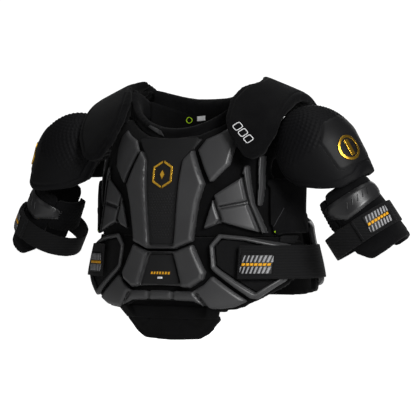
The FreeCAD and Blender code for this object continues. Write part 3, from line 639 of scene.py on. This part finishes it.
def flap():
    """The abdomen flap, shaped by two curved darts that run down from its fold."""
    source = node_mesh("abdomen_flap")
    mesh = moulding(source, 2.5, 4)
    surface = BVHTree.FromPolygons([v.co for v in mesh.vertices], [list(f.vertices) for f in mesh.polygons])
    darts = []
    for sign in (1, -1):
        path = [(sign * 30, -311), (sign * 31, -318), (sign * 38, -326), (sign * 50, -331)]
        darts += laid_line(path, surface, from_front)
    mesh = crowned(
        mesh, sharp_edges(source), 1.5, 20, seams=darts, seam_mm=2.2, seam_reach_mm=3, hem=(9, 0.8, 1.8)
    )
    one("abdomen_flap", mesh, FLEECE)


def fold():
    """The sewn fold that ties the abdomen flap to the belly: a tape laid over the hinge, left in the row
    frame and tied to no body.
    """
    corners, faces = [], []
    for node in ("flap_band", "belly_liner", "abdomen_flap"):
        mesh = node_mesh(node)
        base = len(corners)
        corners += [v.co.copy() for v in mesh.vertices]
        faces += [[base + i for i in f.vertices] for f in mesh.polygons]
    surface = BVHTree.FromPolygons(corners, faces)
    columns, rows = [], 10
    for k in range(-24, 25):
        high = surface.ray_cast(*from_front(k * 4.2, -301))[0]
        low = surface.ray_cast(*from_front(k * 3.7, -321))[0]
        if high and low:
            columns.append([high.lerp(low, row / rows) - Vector((0, MM, 0)) for row in range(rows + 1)])
    width = rows + 1
    faces = [
        (i * width + j, (i + 1) * width + j, (i + 1) * width + j + 1, i * width + j + 1)
        for i in range(len(columns) - 1)
        for j in range(rows)
    ]
    mesh = bpy.data.meshes.new("fold")
    mesh.from_pydata([point for column in columns for point in column], [], faces)
    mesh = with_modifiers(mesh, ("SOLIDIFY", {"thickness": 1.6 * MM, "offset": 1.0}))
    mesh.materials.append(FLEECE)
    tape = bpy.data.objects.new("look_flap_fold", polished(mesh))
    bpy.context.scene.collection.objects.link(tape)
    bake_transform(tape)


def neck_lining():
    """The lining inside the back of the neck, from under the collar roll down into the vest."""
    steps, rows = 40, 8
    corners, faces = [], []
    for i in range(steps + 1):
        around = math.radians(18 + 144 * i / steps)
        x, y = 101 * math.cos(around), -30 + 49 * math.sin(around)
        high = 10 + 34 * (x / 118) ** 2
        for row in range(rows + 1):
            z = -24 + (high + 24) * row / rows
            corners.append(Vector((x, y, z)) * MM)
    for i in range(steps):
        for row in range(rows):
            a, b = i * (rows + 1) + row, (i + 1) * (rows + 1) + row
            faces.append((a, b, b + 1, a + 1))
    mesh = bpy.data.meshes.new("neck_lining")
    mesh.from_pydata(corners, [], faces)
    mesh = with_modifiers(mesh, ("SOLIDIFY", {"thickness": 2 * MM, "offset": -1.0}))
    MADE["neck_lining"] = piece("look_neck_lining", mesh, "vest_back", FLEECE)


def shoulder_flaps():
    """Clavicle flaps: flat foam in a knit shell, with a wide bound hem."""
    for stem in ("clavicle_flap", "rear_flap"):
        source = node_mesh(stem + "_left")
        mesh = inflated(moulding(source, 3.0, 4), 3, 3)
        mesh = with_modifiers(mesh, ("SUBSURF", {"levels": 1}))
        mesh = crowned(mesh, sharp_edges(source), 1.2, 16, hem=(9, 1.3, 1.6))
        both(stem, mesh, SHELL)


# ------------------------------------------------------------------ arms
ARM = (
    Matrix.Translation((0.230, -0.040, -0.060))
    @ Matrix.Rotation(math.radians(11.5), 4, "X")
    @ Matrix.Rotation(math.radians(-31), 4, "Y")
)


def around_arm(facing, side=1):
    """Casts rays inward on the arm from one side of it; u runs round the arm and v up along it."""
    turn = math.radians(facing)
    outward = Vector((math.cos(turn), math.sin(turn), 0))
    sideways = Vector((-math.sin(turn), math.cos(turn), 0))
    flip = Matrix.Diagonal((side, 1, 1, 1))

    def cast(u, v):
        start = ARM @ (outward * 0.16 + sideways * (u * MM) + Vector((0, 0, v * MM)))
        return flip @ start, (flip @ ARM).to_3x3() @ -outward

    return cast


def pebbles(radius, height, pitch_mm):
    """Evenly spread points over a dome in the arm's frame, about a pitch apart."""
    count = int(2 * math.pi * radius * height / (0.87 * (pitch_mm * MM) ** 2))
    golden = math.pi * (3 - math.sqrt(5))
    points = []
    for k in range(count):
        z = 1 - (k + 0.5) / count
        around = math.sqrt(1 - z * z)
        points.append(
            ARM @ Vector(
                (radius * around * math.cos(k * golden), radius * around * math.sin(k * golden), height * z)
            )
        )
    return points


def caps():
    """Shoulder caps: moulded foam, pebbled on top, smooth and banded towards the rim."""
    source = node_mesh("shoulder_cap_left")
    edges = sharp_edges(source)
    mesh = moulding(source, 1.7, 5)
    mesh = crowned(mesh, edges, 1.0, 14, hem=(10, 1.4, 1.6))
    centres = tree_of(pebbles(0.0668, 0.0788, 7.5))
    border = tree_of(edges)
    back = ARM.inverted()

    def emboss(point, normal):
        local = back @ point
        outside = normal.dot((ARM.to_3x3() @ local).normalized()) > 0.4
        strength = ease((border.find(point)[2] / MM - 14) / 8) * ease((local.z / MM + 12) / 24)
        if not outside or strength <= 0:
            return 0
        return 1.1 * MM * strength * (1 - ease(centres.find(point)[2] / (3.6 * MM)))

    both("shoulder_cap", shaped(mesh, emboss), CAP_EVA)
    both("cap_lining", soft("cap_lining_left", 2.5, 3, 0.8, 15), FLEECE)
    insert = plate("cap_insert_left", 1.3, 3, (6, 1.4))
    both("cap_insert", insert, INSERT_EVA)


def guards():
    """Biceps guards: a padded shell, a glossy front plate with raised ribs, and a soft inner pad."""
    source = node_mesh("biceps_guard_left")
    mesh = crowned(moulding(source, 2.4, 4), sharp_edges(source), 1.2, 14, hem=(8, 1.0, 1.6))
    both("biceps_guard", mesh, SHELL)
    source = node_mesh("biceps_plate_left")
    mesh = chamfered(moulding(source, 1.2, 3), sharp_edges(source), 8, 2.2)
    both("biceps_plate", mesh, GLOSSY)
    source = node_mesh("arm_pad_left")
    mesh = crowned(moulding(source, 1.6, 4), sharp_edges(source), 1.5, 12)
    centres = []
    surface = BVHTree.FromPolygons([v.co for v in mesh.vertices], [list(f.vertices) for f in mesh.polygons])
    cast = around_arm(-125)
    for row in range(12):
        for column in range(-7, 8):
            u, v = (column + 0.5 * (row % 2)) * 7, -76 - row * 6
            hit = surface.ray_cast(*cast(u, v))[0]
            if hit:
                centres.append(hit)
    if centres:
        mesh = dotted(mesh, centres, 2.4, 1.0)
    both("arm_pad", mesh, SHELL)


def straps():
    """Woven elastic bands, with the hook tab that closes each biceps loop."""
    both("waist_strap", moulding(node_mesh("waist_strap_left"), 1.3, 2), ELASTIC)
    both("biceps_strap", moulding(node_mesh("biceps_strap_left"), 1.3, 2), ELASTIC)
    both("strap_tab", moulding(node_mesh("strap_tab_left"), 1.1, 2), ELASTIC)


# ------------------------------------------------------------------ prints
def striped_patch(name, node, cast, middle, width, height):
    """A black patch with slanting grey stripes, broken across its middle by a plain gold bar."""
    surface = surface_of(node)
    body = BODY_OF[node]

    def at(u, v):
        return tuple(Vector(middle) + Vector((u, v)))

    w, h = width / 2, height / 2
    ground = laid_patch([at(-w, -h), at(w, -h), at(w, h), at(-w, h)], surface, cast, 0.5, 0.1)
    piece(name + "_ground", ground, body, INK_BLACK)
    count, lean = 8, 0.55
    step = width / count
    stripes = []
    for k in range(count):
        half = step * (0.17 + 0.02 * k)
        for low, high in ((-h + 1.5, -3.4), (3.4, h - 1.5)):
            foot = -w + (k + 0.5) * step - lean * h * 0.5
            corners = [
                (foot + lean * (v + h) * 0.5 + s, v)
                for v, s in ((low, -half), (low, half), (high, half), (high, -half))
            ]
            corners = [(min(w - 0.5, max(0.5 - w, u)), v) for u, v in corners]
            stripes.append(laid_patch([at(u, v) for u, v in corners], surface, cast, 0.3, 0.62))
    piece(name + "_stripes", joined(stripes), body, INK_GREY)
    bars = []
    pitch = width * 0.9 / 7
    for k in range(7):
        left = -width * 0.45 + k * pitch
        corners = [
            (left, -2.1), (left + pitch * 0.8, -2.1), (left + pitch * 0.95, 2.1), (left + pitch * 0.15, 2.1)
        ]
        bars.append(laid_patch([at(u, v) for u, v in corners], surface, cast, 0.35, 0.66))
    piece(name + "_bar", joined(bars), body, INK_GOLD)


def prints():
    for side, sign in SIDES:
        front = lambda u, v, g=sign: from_front(g * u, v)
        striped_patch(f"waist_print_{side}", f"waist_strap_{side}", front, (150, -233.5), 42, 31)
        arm = around_arm(-42, sign)
        striped_patch(f"arm_print_{side}", f"strap_tab_{side}", arm, (3, -138.5), 46, 29)


def clavicle_blocks():
    """Three plain slanted blocks in white outline, where the flap is lettered."""
    surface = surface_of("clavicle_flap_left")
    start, along = Vector((118, -14)), Vector((0.72, -0.69))
    across = Vector((0.69, 0.72))
    lines = []
    for k in range(3):
        base = start + along * (k * 14.5)
        corners = [(0, -5.5), (11, -5.5), (11, 6.5), (0, 6.5)]
        outline = [base + along * (u + v * 0.25) + across * v for u, v in corners]
        path = laid_line([tuple(p) for p in outline], surface, from_front, 1.5, 0.3, closed=True)
        lines.append(tube(path, 0.75, closed=True))
    piece("clavicle_print", joined(lines), "clavicle_left", INK_LIGHT)


def small_prints():
    surface = surface_of("tail_inlay")
    dashes = []
    for k in range(-3, 4):
        outline = [
            (k * 5.2 - 1.9, -250), (k * 5.2 + 1.4, -250), (k * 5.2 + 1.9, -246), (k * 5.2 - 1.4, -246)
        ]
        dashes.append(laid_patch(outline, surface, from_front, 0.4, 0.1, 2))
    piece("tail_print", joined(dashes), "vest_front", INK_GOLD)
    bar = laid_patch(
        [(-4.5, -257), (4.5, -257), (4.5, -254), (-4.5, -254)], surface, from_front, 0.4, 0.1, 2
    )
    piece("tail_print_bar", bar, "vest_front", INK_LIGHT)


def seen_from(facing, side=1):
    """Casts rays inward on the vest, level, from one side of it; u runs along the vest and v is height."""
    turn = math.radians(facing)
    outward, sideways = Vector((math.cos(turn), math.sin(turn), 0)), Vector(
        (-math.sin(turn), math.cos(turn), 0)
    )
    flip = Matrix.Diagonal((side, 1, 1, 1))

    def cast(u, v):
        start = outward * 0.4 + sideways * (u * MM) + Vector((0, 0, v * MM))
        return flip @ start, flip.to_3x3() @ -outward

    return cast


def neck_labels():
    """A woven size label and a printed ring on the neck lining, both left plain."""
    surface = surface_of("neck_lining")
    inside = lambda u, v: from_front(u, v, -0.03)
    label = laid_patch([(-24, -1), (-9, 0), (-9, 8), (-24, 7)], surface, inside, 0.4, 0.2, 2)
    piece("neck_label", label, "vest_back", INK_LIGHT)
    ring = [(-38 + 5 * math.cos(a), 1 + 5 * math.sin(a)) for a in (math.radians(20 * k) for k in range(18))]
    line = laid_line(ring, surface, inside, 1.2, 0.3, closed=True)
    piece("neck_ring", tube(line, 0.6, closed=True), "vest_back", NEON)


def collar_tab():
    """A moulded three-cornered tab on the front of the collar."""
    surface = surface_of("collar_front")
    tab = laid_patch(
        [(-55, -13), (-50, -11), (-27, -21), (-21, -30), (-30, -27)], surface, from_front, 1.2, 0.2, 2
    )
    piece("collar_tab", tab, "vest_front", EVA)


def flank_seam():
    """A slanting seam on each flank pad, with a small bright tag at its lower end."""
    for side, sign in SIDES:
        surface = surface_of(f"flank_pad_{side}")
        cast = seen_from(-35, sign)
        line = laid_line([(56, -145), (33, -183)], surface, cast, 2.0, 0.1)
        piece(
            f"flank_seam_{side}", tube(line, 0.55), BODY_OF[f"flank_pad_{side}"], THREAD
        )
        tag = laid_patch([(34, -184), (41, -185), (41, -182), (34, -181)], surface, cast, 0.8, 0.2, 2)
        piece(f"flank_tag_{side}", tag, BODY_OF[f"flank_pad_{side}"], NEON)


def stitched(name, node, paths, cast, stitch_mm=2.6, closed=False):
    """Rows of short raised stitches along lines drawn on a piece."""
    surface = surface_of(node)
    stitches = []
    for path in paths:
        line = laid_line(path, surface, cast, stitch_mm / 2, 0.15, closed)
        stitches += [tube([line[k], line[k + 1]], 0.32) for k in range(0, len(line) - 1, 2)]
    piece(name, joined(stitches), BODY_OF[node], THREAD)


def strap_stitching():
    """Stitching where each waist strap's hook tab is sewn, drawn as a single line, and a line at each end of
    each biceps strap's tab.
    """
    for side, sign in SIDES:
        front = lambda u, v, g=sign: from_front(g * u, v)
        box = [(128.5, -209), (128.5, -251.5)]
        stitched(f"waist_stitch_{side}", f"waist_strap_{side}", [box], front)
        arm = around_arm(-42, sign)
        ends = [[(-33.5, -122.5), (-33.5, -154.5)], [(30, -154.5), (33, -122.5)]]
        stitched(f"arm_stitch_{side}", f"strap_tab_{side}", ends, arm)


def plate_ribs():
    """Slanted raised ribs in a row on each biceps plate, where it is embossed."""
    for side, sign in SIDES:
        surface = surface_of(f"biceps_plate_{side}")
        cast = around_arm(-50, sign)
        ribs = []
        for k in range(5):
            u = -20 + k * 10
            line = laid_line([(u, -100 + k * 0.8), (u + 5, -91 + k * 0.8)], surface, cast, 1.2, 0.1)
            if len(line) > 3:
                ribs.append(tube(line, 0.9))
        if ribs:
            piece(
                f"plate_ribs_{side}",
                joined(ribs),
                BODY_OF[f"biceps_plate_{side}"],
                GLOSSY,
            )


BUILD = (
    foam_plates, inlays, badges, liners, collar, flank, flap, fold, neck_lining, shoulder_flaps, caps,
    guards, straps, prints, clavicle_blocks, small_prints, neck_labels, collar_tab, flank_seam,
    strap_stitching, plate_ribs,
)
for build in BUILD:
    build()


# ------------------------------------------------------------------ studio
def studio():
    """A pale floor of paper that runs out to white, soft boxes all round, and the camera."""
    paper, tree, shader = finish("floor_paper", "#fafafa", 0.95)
    shader.inputs["Specular IOR Level"].default_value = 0.1
    shader.inputs["Emission Color"].default_value = colour("#ffffff")
    seen = add(tree, "ShaderNodeLightPath")
    glow = add(tree, "ShaderNodeMath", [(0, seen, "Is Camera Ray")], operation="MULTIPLY")
    glow.inputs[1].default_value = 0.9
    tree.links.new(glow.outputs[0], shader.inputs["Emission Strength"])
    floor_z, reach = -0.53, 12.0
    corners = [
        (-reach, -reach, floor_z),
        (reach, -reach, floor_z),
        (reach, reach, floor_z),
        (-reach, reach, floor_z),
    ]
    mesh = bpy.data.meshes.new("floor")
    mesh.from_pydata(corners, [], [(0, 1, 2, 3)])
    floor = bpy.data.objects.new("floor", mesh)
    bpy.context.scene.collection.objects.link(floor)
    mesh.materials.append(paper)

    def softbox(name, at, size, power):
        light = bpy.data.lights.new(name, "AREA")
        light.shape, light.size, light.energy = "SQUARE", size, power
        made = bpy.data.objects.new(name, light)
        made.location = at
        made.rotation_euler = (Vector((0, -0.03, -0.13)) - Vector(at)).to_track_quat("-Z", "Y").to_euler()
        bpy.context.scene.collection.objects.link(made)

    softbox("key", (2.6, -1.5, 1.0), 1.1, 95)
    softbox("fill", (-1.6, -2.4, 0.9), 1.4, 3)
    softbox("top", (0.2, 0.0, 2.4), 1.6, 17)
    softbox("back", (-0.6, 2.8, 0.7), 1.6, 14)
    world = bpy.data.worlds.new("studio_air")
    bpy.context.scene.world = world
    world.use_nodes = True
    air = world.node_tree
    sky = air.nodes["Background"]
    sky.inputs["Color"].default_value = (1, 1, 1, 1)
    seen = add(air, "ShaderNodeLightPath")
    glow = add(air, "ShaderNodeMath", [(0, seen, "Is Camera Ray")], operation="MULTIPLY_ADD")
    glow.inputs[1].default_value, glow.inputs[2].default_value = 1.0, 0.11
    air.links.new(glow.outputs[0], sky.inputs["Strength"])
    bpy.context.scene.view_settings.view_transform = "Standard"

    camera = bpy.data.cameras.new("camera")
    camera.lens, camera.sensor_width = 157.3, 36
    made = bpy.data.objects.new("camera", camera)
    made.location = (1.5043, -2.5956, -0.1452)
    made.rotation_euler = Vector((-0.5, 0.8660254, 0)).to_track_quat("-Z", "Y").to_euler()
    bpy.context.scene.collection.objects.link(made)
    bpy.context.scene.camera = made


studio()
